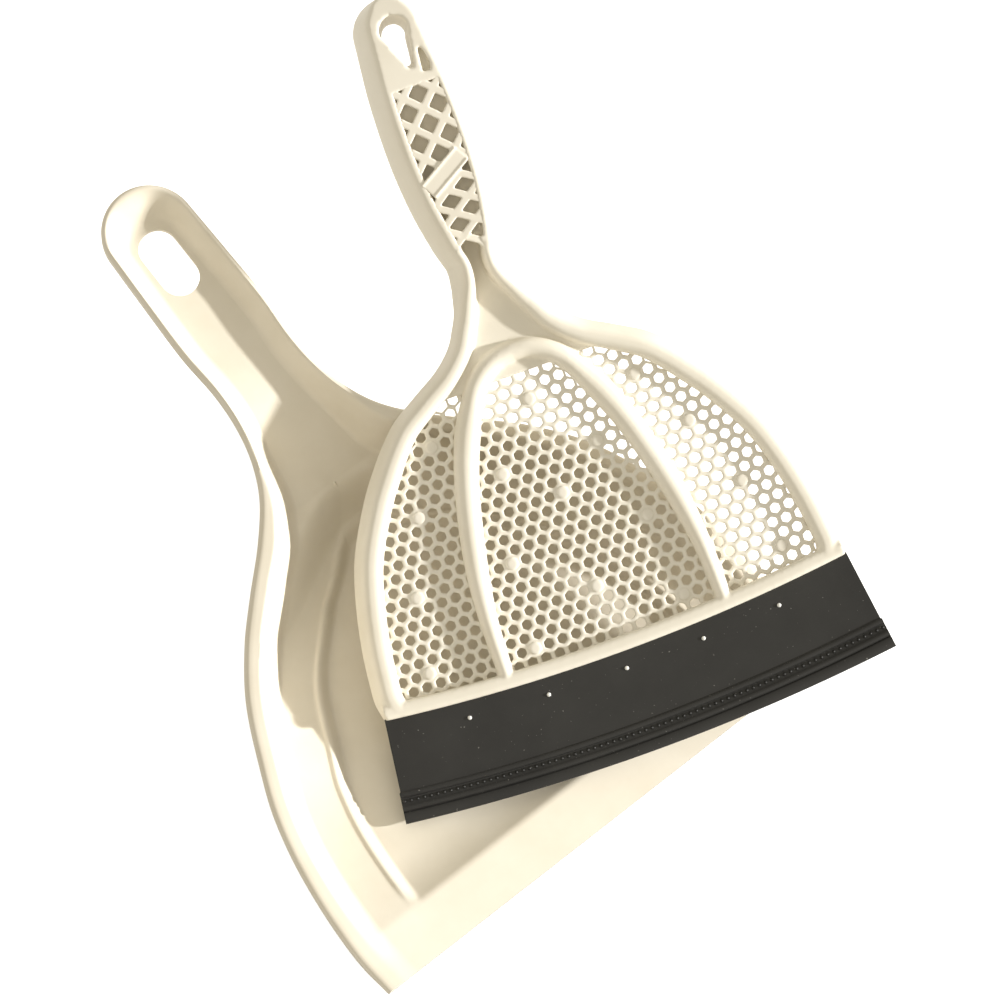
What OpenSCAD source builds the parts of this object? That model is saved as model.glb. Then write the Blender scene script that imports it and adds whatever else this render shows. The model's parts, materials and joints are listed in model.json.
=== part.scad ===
// Dust pan with a hand broom lying in it. The broom has a rubber blade in place of bristles.
// Origin: the flat underside of the pan's well. +Z is up, +Y runs from the lip to the pan's
// handle. Pan functions take t, the distance in from the lip. The broom is drawn in its own frame,
// with x across, y from the blade to the handle and z from its back to its front face.

/* [Pan] */
// Length from the lip to the tip of the handle
pan_l = 346; // [342:1:352]
// Height of the rim round the back of the bowl
pan_h = 50; // [46:1:50]
// How much higher the tip of the handle is than the back of the bowl
handle_rise = 20; // [14:1:22]
// Wall thickness
skin = 2.2; // [1.8:0.1:2.8]
// Width of the rounded band on top of the side walls
band_w = 7; // [5:1:9]
// Width of the steep part of the inside wall, next to the band
wall_run = 10; // [8:1:16]
// Width of the slope between the handle's edge and the bottom of its trough
trough_run = 8; // [6:1:12]
// Depth of the turned-down edge outside the rim
skirt_h = 7; // [5:1:9]
// Depth of the ramp from the lip to its crest
crest_t = 23; // [18:1:28]
// Height of the ramp's crest
crest_z = 7.5; // [6:0.5:9]
// Distance from the lip to the back edge of the floor
rear_t = 177; // [170:1:180]
// Distance from the lip to the middle of the hanging slot
pan_hole_t = 311; // [306:1:316]
// Width of the hanging slot
pan_hole_w = 18; // [14:1:20]
// Length of the hanging slot
pan_hole_l = 33; // [28:1:36]

/* [Broom head] */
// Half of the head's width at the rail
head_half = 108.5; // [106:0.5:110]
// Width of the outer rim
rim_w = 13; // [11:0.5:14]
// Thickness of the rim, the ribs and the rail
rim_z = 9; // [8:0.5:11]
// Thickness of the sunk web at the neck
web_z = 4; // [3:0.5:5]
// Height of the rail above the blade
rail_h = 6.5; // [5:0.5:8]
// How far the middle of the rail's lower edge hangs below its ends
bow = 6.9; // [5:0.1:8]
// Depth of the flange that backs the blade
flange_h = 14; // [12:1:14]

/* [Mesh] */
// Distance between neighbouring holes
cell = 6.35; // [6:0.05:7]
// Width of a hole across its flats
hole_flats = 4.4; // [4:0.1:4.8]
// Thickness of the mesh
mesh_z = 2.5; // [2:0.1:3]

/* [Handle] */
// Distance from the rail to the tip of the handle
handle_tip = 300.5; // [298:0.5:304]
// Thickness of the grip
grip_z = 20; // [18:1:22]
// Depth of the recess under the lattice
pocket_z = 15; // [9:1:16]
// Distance between neighbouring lattice bars
bar_pitch = 10; // [9:0.5:12]
// Width of a lattice bar
bar_w = 3.4; // [2.5:0.1:4]
// Width of the hanging hole
eye_w = 11; // [9:0.5:12]

/* [Blade] */
// Height of the rubber below the rail
blade_h = 46; // [42:1:50]
// Thickness of the rubber
blade_z = 2; // [1.6:0.1:2.4]
// Half of the blade's width at its lower edge
blade_half = 115; // [112:0.5:117]
// Distance below the rail's ends at which the blade bends
bend_y = -22; // [-24:0.5:-21.5]
// Gap between the fixed and the bending part of the blade
bend_gap = 1.6; // [1.4:0.1:2]
// Radius of the fixing pins
pin_r = 1; // [0.8:0.1:1.5]
// Distance between neighbouring pins
pin_pitch = 36.3; // [34:0.1:38]

/* [Placing] */
// Turn of the broom about its own face
broom_turn = -18.6; // [-20:0.1:-17]
// Tilt of the broom, handle and right side up
broom_tilt = 16.4; // [16:0.1:17]

/* [Hidden] */

cream = [0.93, 0.90, 0.83];
pale_cream = [0.95, 0.93, 0.87];
black = [0.16, 0.16, 0.17];
pin_white = [0.90, 0.89, 0.85];

// Place of the broom's own origin, the middle of the line between the rail's ends
broom_at = [52.6, -50.7, 27.9];

// The origin's distance in from the lip
origin_t = 110;
// Radius and centre of the round end of the pan's handle
end_r = 21.8;
end_t = pan_l - end_r;
// Radius on the outside edge of the rim
edge_r = 2;
// Thickness of the turned-down edge
skirt_w = 2;
// Share of the wall's height that its steep part takes. The rest is a slope down to the floor.
steep_share = 0.8;
foot_run = 28;
lip_z = 1.5;
// Depth of the slope behind the crest
drop_run = 22;
// Height of the trough's bottom at distances from the lip
pan_trough = [[193, 24], [215, 33], [240, 44.5], [280, 51], [pan_l, pan_h + handle_rise - 11]];
// Width of the wall at the back of the bowl, how far its foot bows forward per mm squared, and the
// distance from the middle at which the bow ends
rear_run = 16;
rear_bow = 0.015;
bow_end = 45;
// Where the bowl starts and ends its turn into the handle
neck_from = 178;
neck_to = 222;
// Half of the pan's width at distances from the lip
pan_outline = [[0, 122.3], [25, 124.6], [60, 122.6], [87, 117.2], [108, 109], [134, 96.2],
               [154, 81.2], [170, 65.5], [186, 48.6], [202, 35], [217, 27.4], [233, 23.3],
               [250, 22], [272, 23.2], [300, 22.6], [end_t, end_r]];
// Height of the pan's rim at distances from the lip
pan_rim = [[0, 2.6], [10, 6], [23, 11], [40, 17], [63, 26], [90, 36], [120, 44],
           [150, pan_h - 2], [185, pan_h], [215, pan_h + 2.5], [pan_l, pan_h + handle_rise]];
// Sections of the pan: close together at the crest, the back wall and the round end
pan_steps = concat([0, 6, 12, 18, crest_t, 26, 30, 36, 45], steps(57, 155, 14), [163, 170],
                   steps(174, 202, 4), steps(210, 310, 10),
                   [for (a = [0:15:75]) end_t + end_r * sin(a)], [pan_l - 1, pan_l - 0.1]);
// Places across half of a section, from the rim's edge to the foot of the wall
wall_places = [0, 0.02, 0.06, 0.2, 0.27, 0.34, 0.41, 0.48, 0.6, 0.8, 1];
floor_points = 3;
half_points = last_of(wall_places) + floor_points;

// Distance above the rail at which the head ends and the handle begins
head_top = 153;
// Half of the head's width at distances above the rail
head_outline = [[0, head_half], [7, 110], [15, 109.6], [33, 107.3], [54, 102.6], [71, 96.9],
                [86, 89], [102, 78.4], [121, 61.4], [130, 47.3], [137, 35.2], [145, 26.2],
                [head_top, 21.2]];
// Half-widths of the inverted U of ribs, outside and inside
rib_outer = [[0, 54.5], [27, 54.2], [52, 52], [80, 46], [108, 36.5], [125, 26], [130, 22.1],
             [134, 17.2], [137, 11.2], [139, 0]];
rib_inner = [[0, 47.5], [27, 45.8], [54, 41], [85, 33], [110, 22.9], [118, 19.1], [124, 14.3],
             [127.5, 9.6], [130, 0]];
// Half of the width of the trough in the neck at distances above the rail
neck_trough = [[128, 17], [140, 13.5], [147, 10], [head_top + 1, 7.5]];
// Half of the handle's width and its thickness at distances above the rail
tip_r = 16.2;
tip_y = handle_tip - tip_r;
handle_outline = [[head_top, 21.2], [158, 18.2], [164, 15.4], [170, 13], [177, 12.1], [182, 13.4],
                  [189, 15.1], [206, 18], [225, 19.5], [242, 19.6], [260, 18.8], [272, 17.6],
                  [tip_y, tip_r]];
// How far the back of the grip is set to the left, and how much of that is gone at its front
back_shift = 3;
lean = 2.6;
handle_thick = [[head_top, rim_z], [160, 10.5], [172, 15], [184, 19], [195, grip_z],
                [270, grip_z], [288, grip_z - 2], [304, grip_z - 6]];
// Ends of the recess under the lattice
pocket_from = 186;
pocket_to = 258;
// Distance in from the handle's outline to the recess
pocket_in = 8.6;
// Middle of the hanging hole
eye_at = [-2, 280];
// The flange and the blade lie one on the other above the broom's back face
flange_from = 0.5;
flange_z = 2.5;
blade_from = flange_from + flange_z;
// Rows and columns of the mesh
row_h = cell * sin(60);
mesh_rows = 25;
mesh_cols = 17;

// ---- curves ----
function steps(from, to, by) = [for (s = [from:by:to]) s];
function eased(s) = let (c = min(max(s, 0), 1)) c * c * (3 - 2 * c);
function last_of(p) = len(p) - 1;
// Slope of the smooth curve at point i of a list of [distance, value]
function slope_at(p, i) =
    let (a = max(i - 1, 0), b = min(i + 1, last_of(p))) (p[b][1] - p[a][1]) / (p[b][0] - p[a][0]);
function span_of(p, s, i = 0) = i >= last_of(p) - 1 || s < p[i + 1][0] ? i : span_of(p, s, i + 1);
// Smooth curve through a list of [distance, value]
function curve(p, s) =
    let (
        i = span_of(p, s),
        h = p[i + 1][0] - p[i][0],
        f = min(max((s - p[i][0]) / h, 0), 1),
        f2 = f * f,
        f3 = f2 * f
    )
    (2 * f3 - 3 * f2 + 1) * p[i][1] + (f3 - 2 * f2 + f) * h * slope_at(p, i)
    + (3 * f2 - 2 * f3) * p[i + 1][1] + (f3 - f2) * h * slope_at(p, i + 1);

// ---- pan surface ----
function pan_half(t) =
    t > end_t ? sqrt(max(end_r * end_r - pow(t - end_t, 2), 0)) : curve(pan_outline, t);
// Distance in from the outline
function edge_at(x, t) =
    t > end_t ? end_r - norm([x, t - end_t])
    : (pan_half(t) - abs(x)) / sqrt(1 + pow(pan_half(t + 0.5) - pan_half(t - 0.5), 2));
// Height of the floor: ramp up to the crest, slope down into the well, wall up at the back
function floor_at(x, t) =
    t < crest_t ? lip_z + (crest_z - lip_z) * t / crest_t
    : t < crest_t + drop_run ? skin + (crest_z - skin) * pow(1 - (t - crest_t) / drop_run, 2)
    : skin + (curve(pan_trough, max(t, pan_trough[0][0])) - skin)
        * eased((t - rear_t + rear_bow * pow(min(abs(x), bow_end), 2)) / rear_run);
function rounded(edge) =
    edge < edge_r ? edge_r - sqrt(max(edge_r * edge_r - pow(edge_r - max(edge, 0), 2), 0)) : 0;
// How far the bowl has turned into the handle's trough, from 0 to 1
function neck_at(t) = eased((t - neck_from) / (neck_to - neck_from));
function mixed(a, b, f) = a + (b - a) * f;
// In the handle the two walls are narrower, with the bottom of the trough between them
function top_at(x, t) =
    let (
        rim = curve(pan_rim, t),
        edge = max(edge_at(x, t), 0),
        middle = max(edge_at(0, t), 0.01),
        neck = neck_at(t),
        inward = edge - neck * edge * edge / (2 * middle) - mixed(band_w, 1, neck),
        steep = mixed(steep_share, 1, neck),
        wall = steep * eased(inward / mixed(wall_run, trough_run, neck))
            + (1 - steep) * min(max(inward / foot_run, 0), 1)
    )
    rim - rounded(edge) - (rim - floor_at(x, t)) * wall;
// Height of the underside, one skin below the top as measured square to it
function under_at(x, t) =
    let (
        along_x = top_at(x + 0.3, t) - top_at(x - 0.3, t),
        along_t = top_at(x, t + 0.3) - top_at(x, t - 0.3),
        steep = sqrt(1 + min(pow(along_x / 0.6, 2) + pow(along_t / 0.6, 2), 6))
    )
    max(top_at(x, t) - skin * steep, 0);
// Place across a section of point k, counted from the middle
function across(t, half, k) =
    let (
        n = half_points - abs(k),
        middle = max(edge_at(0, t), 0.01),
        reach = min(band_w + foot_run, 0.85 * middle) / middle,
        deep = n <= last_of(wall_places) ? reach * wall_places[n]
            : reach + (1 - reach) * (n - last_of(wall_places)) / floor_points
    )
    sign(k) * half * (1 - deep);
function inner_half(t) =
    t > end_t ? sqrt(max(pow(end_r - skirt_w, 2) - pow(t - end_t, 2), 1))
    : pan_half(t) - skirt_w;
// One closed section of the pan: top, turned-down edge, underside
function pan_section(t) =
    let (
        w = pan_half(t),
        inner = inner_half(t),
        foot = max(curve(pan_rim, t) - skirt_h, 0),
        solid = inner <= 1,
        under_half = inner - (solid ? 0.02 : 0.4)
    )
    concat(
        [for (k = [-half_points:half_points]) let (x = across(t, w, k))
            [x, t - origin_t, top_at(x, t)]],
        [[w, t - origin_t, foot], [inner, t - origin_t, foot]],
        [for (k = [half_points - 1:-1:1 - half_points])
            let (x = across(t, under_half, k))
            [x, t - origin_t, solid ? foot + 0.1 : under_at(x, t)]],
        [[-inner, t - origin_t, foot], [-w, t - origin_t, foot]]);
module loft(sections) {
    n = len(sections[0]);
    last = len(sections) - 1;
    points = [for (s = sections) each s];
    sides = [for (i = [0:last - 1]) for (j = [0:n - 1]) let (a = i * n + j, b = i * n + (j + 1) % n)
        each [[a, a + n, b], [b, a + n, b + n]]];
    // Both caps fan out from the first point, which is in line with no row of points
    first_cap = [[for (j = [0:n - 1]) j]];
    last_cap = [[for (j = [n:-1:1]) last * n + j % n]];
    polyhedron(points = points, faces = concat(sides, first_cap, last_cap), convexity = 8);
}
module slot(width, length, depth) {
    reach = (length - width) / 2;
    for (s = [-1, 1]) translate([0, s * reach, 0]) cylinder(d = width, h = depth, $fn = 48);
    translate([-width / 2, -reach, 0]) cube([width, 2 * reach, depth]);
}
module pan_body() {
    color(cream) difference() {
        loft([for (t = pan_steps) pan_section(t)]);
        translate([0, pan_hole_t - origin_t, pan_h - 10]) slot(pan_hole_w, pan_hole_l, pan_h);
    }
}

// ---- broom, flat outlines ----
module on_broom() {
    translate(broom_at) rotate(a = broom_tilt, v = [1, -1, 0]) rotate([0, 0, broom_turn])
        children();
}
// Lower edge of the rail: a shallow bow that is lowest in the middle
function rail_y(x, half) = -bow * (1 - pow(x / half, 2));
function bowed(half, raise) =
    [for (k = [-16:16]) let (x = half * k / 16) [x, raise + rail_y(x, half)]];
function mirrored(p) =
    concat([for (q = p) [q[1], q[0]]], [for (i = [last_of(p):-1:0]) [-p[i][1], p[i][0]]]);
function sampled(p, step) =
    [for (s = [p[0][0]:step:p[last_of(p)][0]]) [s, max(curve(p, s), 0)]];
module head_2d() {
    polygon(mirrored(sampled(head_outline, 4)));
    polygon(concat(bowed(head_half, 0), [[head_half, 1], [-head_half, 1]]));
}
module below_rail_2d() {
    polygon(concat(bowed(head_half + 4, rail_h), [[head_half + 4, -20], [-head_half - 4, -20]]));
}
// The inverted U reaches below the rail, so that it joins it
module u_2d(p) {
    polygon(mirrored(concat([[-20, p[0][1]]], sampled(p, 3), [p[last_of(p)]])));
}
module arch_2d() {
    intersection() {
        difference() {
            u_2d(rib_outer);
            u_2d(rib_inner);
        }
        head_2d();
    }
}
// The outline is first drawn on below the rail, so that the offset leaves the rail alone
module inside_rim_2d() {
    offset(delta = -rim_w) union() {
        head_2d();
        translate([-head_half, -3 * rim_w]) square([2 * head_half, 3 * rim_w + 1]);
    }
}
module centre_window_2d() {
    difference() {
        u_2d(rib_inner);
        below_rail_2d();
    }
}
module side_window_2d(side) {
    difference() {
        intersection() {
            inside_rim_2d();
            translate([side > 0 ? 0 : -head_half, 0]) square([head_half, 126]);
        }
        u_2d(rib_outer);
        below_rail_2d();
    }
}
// Rim, ribs and rail
module raised_2d() {
    difference() {
        head_2d();
        inside_rim_2d();
        polygon(mirrored(neck_trough));
    }
    arch_2d();
    intersection() {
        head_2d();
        below_rail_2d();
    }
}
module eye_2d() {
    hull() {
        translate(eye_at) circle(d = eye_w, $fn = 40);
        translate([eye_at[0], eye_at[1] - 1.6 * eye_w]) circle(r = 1, $fn = 16);
    }
}
module pin_places() {
    for (k = [-2:2]) translate([k * pin_pitch, rail_y(k * pin_pitch, head_half) - 7.6, 0])
        children();
}

// ---- broom, frame ----
function handle_half(y) =
    y > tip_y ? sqrt(max(tip_r * tip_r - pow(y - tip_y, 2), 0)) : curve(handle_outline, y);
// Drafted section of the handle, wider at the back than at the front. Its left side slopes more.
function handle_section(y) =
    let (
        w = handle_half(y),
        h = curve(handle_thick, y),
        draft = min(0.26 * h, 0.35 * w),
        turn = eased((y - head_top) / 20),
        share = [0, 0, 0.4, 0.75, 1],
        level = [0, 0.25, 0.62, 0.88, 1],
        half = [for (f = share) w - f * draft - (f == 1 ? min(0.2 * w, 1) : 0)],
        middle = [for (f = share) turn * (lean * f - back_shift)]
    )
    concat([for (i = [0:4]) [middle[i] + half[i], y, level[i] * h]],
           [for (i = [4:-1:0]) [middle[i] - half[i], y, level[i] * h]]);
module handle_solid() {
    places = concat(steps(head_top, 281, 8), [for (a = [0:15:75]) tip_y + tip_r * sin(a)],
                    [handle_tip - 0.1]);
    loft([for (y = places) handle_section(y)]);
}
module pocket_2d() {
    polygon(mirrored([for (y = [pocket_from:4:pocket_to]) [y, handle_half(y) - pocket_in]]));
}
module brush_frame() {
    color(cream) on_broom() difference() {
        union() {
            linear_extrude(rim_z) raised_2d();
            linear_extrude(web_z) difference() {
                head_2d();
                centre_window_2d();
                side_window_2d(-1);
                side_window_2d(1);
            }
            translate([0, 0, flange_from]) linear_extrude(flange_z)
                polygon(concat(bowed(head_half - 3, 1), [for (q = bowed(head_half - 3, -flange_h))
                    [-q[0], q[1]]]));
        }
        pin_places() translate([0, 0, -1]) cylinder(r = pin_r, h = rim_z, $fn = 24);
    }
}
module brush_handle() {
    color(cream) on_broom() difference() {
        handle_solid();
        translate([0, 0, grip_z - pocket_z]) linear_extrude(pocket_z + 2) pocket_2d();
        translate([0, 0, -1]) linear_extrude(grip_z + 4) eye_2d();
        // Channel down the front of the neck
        translate([0, 0, web_z]) linear_extrude(grip_z) polygon([[-3.4, pocket_from - 3],
            [3.4, pocket_from - 3], [4, 165], [7.5, head_top - 1], [-7.5, head_top - 1],
            [-4, 165]]);
    }
}
module bars_2d(angle, from, to) {
    intersection() {
        translate([-20, from]) square([40, to - from]);
        for (s = [-1, 1]) for (k = [-8:8]) translate([0, 224 + k * bar_pitch / sin(angle)])
            rotate(s * (90 - angle)) translate([-30, -bar_w / 2]) square([60, bar_w]);
    }
}
module grip_lattice() {
    color(pale_cream) on_broom() translate([0, 0, grip_z - 3.5]) linear_extrude(3) difference() {
        intersection() {
            offset(delta = 0.4) pocket_2d();
            union() {
                bars_2d(45, pocket_from, pocket_to);
                // Blank band across the grip
                translate([-2.5, 213.7]) rotate(28.5) translate([-20, -4.25]) square([40, 8.5]);
            }
        }
        eye_2d();
    }
}

// ---- broom, mesh panels ----
module hex_holes_2d() {
    for (row = [-1:mesh_rows]) for (col = [-mesh_cols:mesh_cols])
        translate([cell * (col + (row % 2 == 0 ? 0 : 0.5)), row * row_h + 2])
            rotate(30) circle(d = hole_flats / cos(30), $fn = 6);
}
module mesh_panel() {
    color(pale_cream) on_broom() translate([0, 0, 1]) linear_extrude(mesh_z) difference() {
        children();
        hex_holes_2d();
    }
}
module left_mesh_panel() {
    mesh_panel() side_window_2d(-1);
}
module centre_mesh_panel() {
    mesh_panel() centre_window_2d();
}
module right_mesh_panel() {
    mesh_panel() side_window_2d(1);
}

// ---- broom, rubber blade ----
// Height of the blade's lower edge
function foot_y(x) = -blade_h + rail_y(x, blade_half);
module blade_2d() {
    polygon(concat([for (k = [-16:16]) let (x = head_half * k / 16) [x, rail_y(x, head_half)]],
                   [for (k = [16:-1:-16]) let (x = blade_half * k / 16) [x, foot_y(x)]]));
}
module ridge(above, width) {
    translate([0, 0, blade_from + blade_z]) linear_extrude(0.8)
        polygon(concat([for (k = [-16:16]) let (x = 0.97 * blade_half * k / 16)
            [x, foot_y(x) + above]], [for (k = [16:-1:-16]) let (x = 0.97 * blade_half * k / 16)
            [x, foot_y(x) + above + width]]));
}
module blade_root() {
    color(black) on_broom() difference() {
        translate([0, 0, blade_from]) linear_extrude(blade_z) intersection() {
            blade_2d();
            translate([-150, bend_y + bend_gap / 2]) square([300, 60]);
        }
        pin_places() cylinder(r = pin_r, h = 2 * rim_z, $fn = 24);
    }
}
module sweeper_blade() {
    color(black) on_broom() {
        translate([0, 0, blade_from]) linear_extrude(blade_z) intersection() {
            blade_2d();
            translate([-150, bend_y - bend_gap / 2 - 60]) square([300, 60]);
        }
        ridge(12, 1.4);
        ridge(5.6, 1.2);
    }
}
module blade_pins() {
    color(pin_white) on_broom() pin_places() translate([0, 0, flange_from])
        cylinder(r = pin_r, h = flange_z + blade_z + 0.7, $fn = 24);
}

pan_body();
brush_frame();
brush_handle();
grip_lattice();
left_mesh_panel();
centre_mesh_panel();
right_mesh_panel();
blade_root();
sweeper_blade();
blade_pins();
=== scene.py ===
"""Dust pan with a hand broom lying in it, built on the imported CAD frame.

Lengths are in millimetres until place() or to_pan() turns them into metres. Pan shapes use
(x, t), where t is the distance in from the lip. Broom shapes use the broom's own frame: x across,
y from the blade to the handle, z from its back to its front face.
"""
import json
import math
import bmesh
import bpy
import numpy as np
from mathutils import Matrix, Vector


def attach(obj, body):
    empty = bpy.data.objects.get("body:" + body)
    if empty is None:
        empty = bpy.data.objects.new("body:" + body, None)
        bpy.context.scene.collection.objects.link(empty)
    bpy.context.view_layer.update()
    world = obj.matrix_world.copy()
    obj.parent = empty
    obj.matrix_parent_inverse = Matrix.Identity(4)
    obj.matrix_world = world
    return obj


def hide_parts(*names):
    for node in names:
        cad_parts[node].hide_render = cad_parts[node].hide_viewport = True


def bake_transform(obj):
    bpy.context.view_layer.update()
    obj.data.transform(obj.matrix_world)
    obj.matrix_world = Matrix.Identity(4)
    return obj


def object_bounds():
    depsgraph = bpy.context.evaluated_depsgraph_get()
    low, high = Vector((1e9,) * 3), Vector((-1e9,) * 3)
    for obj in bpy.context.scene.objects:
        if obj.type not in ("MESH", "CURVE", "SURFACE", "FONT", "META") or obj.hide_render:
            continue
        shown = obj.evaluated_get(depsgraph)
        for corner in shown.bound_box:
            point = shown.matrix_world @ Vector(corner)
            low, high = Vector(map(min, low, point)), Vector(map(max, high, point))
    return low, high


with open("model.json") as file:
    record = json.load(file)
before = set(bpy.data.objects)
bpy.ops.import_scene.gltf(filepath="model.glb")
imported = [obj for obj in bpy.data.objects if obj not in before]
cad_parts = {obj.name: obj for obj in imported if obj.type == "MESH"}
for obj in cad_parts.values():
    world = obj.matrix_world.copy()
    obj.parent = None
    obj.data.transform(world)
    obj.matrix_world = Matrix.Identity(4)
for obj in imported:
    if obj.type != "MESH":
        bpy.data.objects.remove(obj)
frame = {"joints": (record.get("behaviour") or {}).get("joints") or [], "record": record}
cad_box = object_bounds()

MM = 0.001
# The origin of the row frame lies this far in from the pan's lip
ORIGIN_T = 110
# Place of the blade's hinge in the broom's own frame
HINGE_Y, HINGE_Z = -22, 4


# ---- frame ----
def broom_axes():
    """Origin and unit axes of the broom, from the blade's hinge and the axis of its hanging hole."""
    hinge = next(j for j in frame["joints"] if j["name"] == "blade_flex")
    hole = next(m for m in frame["record"]["mounts"] if m["name"] == "brush_hang_hole")
    across = -Vector(hinge["axis"]).normalized()
    out = Vector(hole["axis"])
    out = (out - across * out.dot(across)).normalized()
    along = out.cross(across)
    origin = Vector(hinge["pos_m"]) - along * HINGE_Y * MM - out * HINGE_Z * MM
    return origin, across, along, out


BROOM_AT, ACROSS, ALONG, OUT = broom_axes()


def place(points):
    """Broom millimetres to metres in the row frame."""
    axes = np.array([ACROSS, ALONG, OUT])
    return np.asarray(points, float) @ axes * MM + np.array(BROOM_AT)


def to_pan(points):
    """Pan millimetres (x, t, z) to metres in the row frame."""
    return (np.asarray(points, float) - np.array([0, ORIGIN_T, 0])) * MM


# ---- curves ----
def curve(points, s):
    """Smooth curve through a list of [distance, value], read at s."""
    p = np.array(points, float)
    last = len(p) - 1
    ahead = np.minimum(np.arange(last + 1) + 1, last)
    behind = np.maximum(np.arange(last + 1) - 1, 0)
    slope = (p[ahead, 1] - p[behind, 1]) / (p[ahead, 0] - p[behind, 0])
    i = np.clip(np.searchsorted(p[:, 0], s, side="right") - 1, 0, last - 1)
    h = p[i + 1, 0] - p[i, 0]
    f = np.clip((s - p[i, 0]) / h, 0, 1)
    return ((2 * f ** 3 - 3 * f ** 2 + 1) * p[i, 1] + (f ** 3 - 2 * f ** 2 + f) * h * slope[i]
            + (3 * f ** 2 - 2 * f ** 3) * p[i + 1, 1] + (f ** 3 - f ** 2) * h * slope[i + 1])


def eased(s):
    """From 0 to 1 with a soft start and a soft end."""
    c = np.clip(s, 0, 1)
    return c * c * (3 - 2 * c)


def mixed(a, b, f):
    """Value a share f of the way from a to b."""
    return a + (b - a) * f


# ---- meshes ----
def shade_smooth(mesh):
    """Shades every face smoothly."""
    for polygon in mesh.polygons:
        polygon.use_smooth = True


def mesh_object(name, points, faces):
    """New object in the scene, at the origin."""
    mesh = bpy.data.meshes.new(name)
    mesh.from_pydata([tuple(p) for p in points], [], [tuple(int(i) for i in f) for f in faces])
    mesh.validate()
    shade_smooth(mesh)
    obj = bpy.data.objects.new(name, mesh)
    bpy.context.scene.collection.objects.link(obj)
    return obj


def joined(shapes):
    """One list of points and faces from several."""
    points, faces, start = [], [], 0
    for p, f in shapes:
        points.append(np.asarray(p, float))
        faces.extend([[i + start for i in face] for face in f])
        start += len(p)
    return np.vstack(points), faces


def loft(sections):
    """Closed solid through sections that each have the same number of points."""
    n = len(sections[0])
    last = (len(sections) - 1) * n
    faces = []
    for a in range(0, last, n):
        faces += [[a + j, a + n + j, a + n + (j + 1) % n, a + (j + 1) % n] for j in range(n)]
    faces.append(list(range(n)))
    faces.append([last + j for j in reversed(range(n))])
    return np.vstack(sections), faces


def knob(centre, rings, sides):
    """Small round solid: rings lists [radius, height] from its foot to its top."""
    turn = np.linspace(0, 2 * math.pi, sides + 1)[:-1]
    return loft([centre + np.array([[r * math.cos(a), r * math.sin(a), z] for a in turn])
                 for r, z in rings])


def prism(outline, low, high):
    """Solid with a flat outline [x, y] between two heights."""
    n = len(outline)
    points = [[x, y, z] for z in (low, high) for x, y in outline]
    sides = [[j, (j + 1) % n, n + (j + 1) % n, n + j] for j in range(n)]
    return np.array(points), sides + [list(reversed(range(n))), list(range(n, 2 * n))]


def outward(obj):
    """Turns every face of a closed mesh outwards."""
    bm = bmesh.new()
    bm.from_mesh(obj.data)
    bmesh.ops.recalc_face_normals(bm, faces=bm.faces)
    bm.to_mesh(obj.data)
    bm.free()


def baked(obj):
    """Applies the object's modifiers to its mesh."""
    depsgraph = bpy.context.evaluated_depsgraph_get()
    mesh = bpy.data.meshes.new_from_object(obj.evaluated_get(depsgraph))
    obj.modifiers.clear()
    obj.data = mesh
    return obj


def cut(obj, cutter):
    """Takes the cutter's solid out of the object."""
    outward(obj)
    outward(cutter)
    modifier = obj.modifiers.new("cut", "BOOLEAN")
    modifier.operation = "DIFFERENCE"
    modifier.solver = "EXACT"
    modifier.object = cutter
    baked(obj)
    bpy.data.objects.remove(cutter)


def moulded(obj, voxel, rounds):
    """Fuses overlapping solids into one skin and rounds its edges as a mould does."""
    remesh = obj.modifiers.new("fuse", "REMESH")
    remesh.mode = "VOXEL"
    remesh.voxel_size = voxel * MM
    smooth = obj.modifiers.new("round", "SMOOTH")
    smooth.factor = 0.5
    smooth.iterations = rounds
    baked(obj)
    shade_smooth(obj.data)


# ---- materials ----
class Nodes:
    """Short helper for building a node tree."""

    def __init__(self, name):
        self.material = bpy.data.materials.new(name)
        self.material.use_nodes = True
        self.tree = self.material.node_tree
        self.shader = self.tree.nodes["Principled BSDF"]
        self.where = self.add("ShaderNodeTexCoord").outputs["Object"]

    def add(self, kind, **values):
        """New node. Each value is one of its settings or else one of its inputs."""
        node = self.tree.nodes.new(kind)
        for key, value in values.items():
            if hasattr(node, key):
                setattr(node, key, value)
            else:
                node.inputs[key].default_value = value
        return node

    def link(self, source, target):
        self.tree.links.new(source, target)

    def noise(self, scale, detail=2.0, roughness=0.5):
        """Noise whose patches are about 1 / scale metres across."""
        node = self.add("ShaderNodeTexNoise", Scale=scale, Detail=detail, Roughness=roughness)
        self.link(self.where, node.inputs["Vector"])
        return node.outputs["Fac"]

    def ramp(self, factor, stops):
        """Colour from a list of [position, colour]."""
        node = self.add("ShaderNodeValToRGB")
        while len(node.color_ramp.elements) < len(stops):
            node.color_ramp.elements.new(0.5)
        for element, (position, colour) in zip(node.color_ramp.elements, stops):
            element.position = position
            element.color = (*colour, 1)
        self.link(factor, node.inputs["Fac"])
        return node.outputs["Color"]

    def spread(self, factor, low, high):
        """A factor from 0 to 1 as a value from low to high."""
        node = self.add("ShaderNodeMapRange")
        node.inputs["To Min"].default_value = low
        node.inputs["To Max"].default_value = high
        self.link(factor, node.inputs["Value"])
        return node.outputs["Result"]

    def bump(self, height, distance, strength):
        """Fine relief, distance metres deep."""
        node = self.add("ShaderNodeBump", Strength=strength, Distance=distance)
        self.link(height, node.inputs["Height"])
        self.link(node.outputs["Normal"], self.shader.inputs["Normal"])


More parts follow.
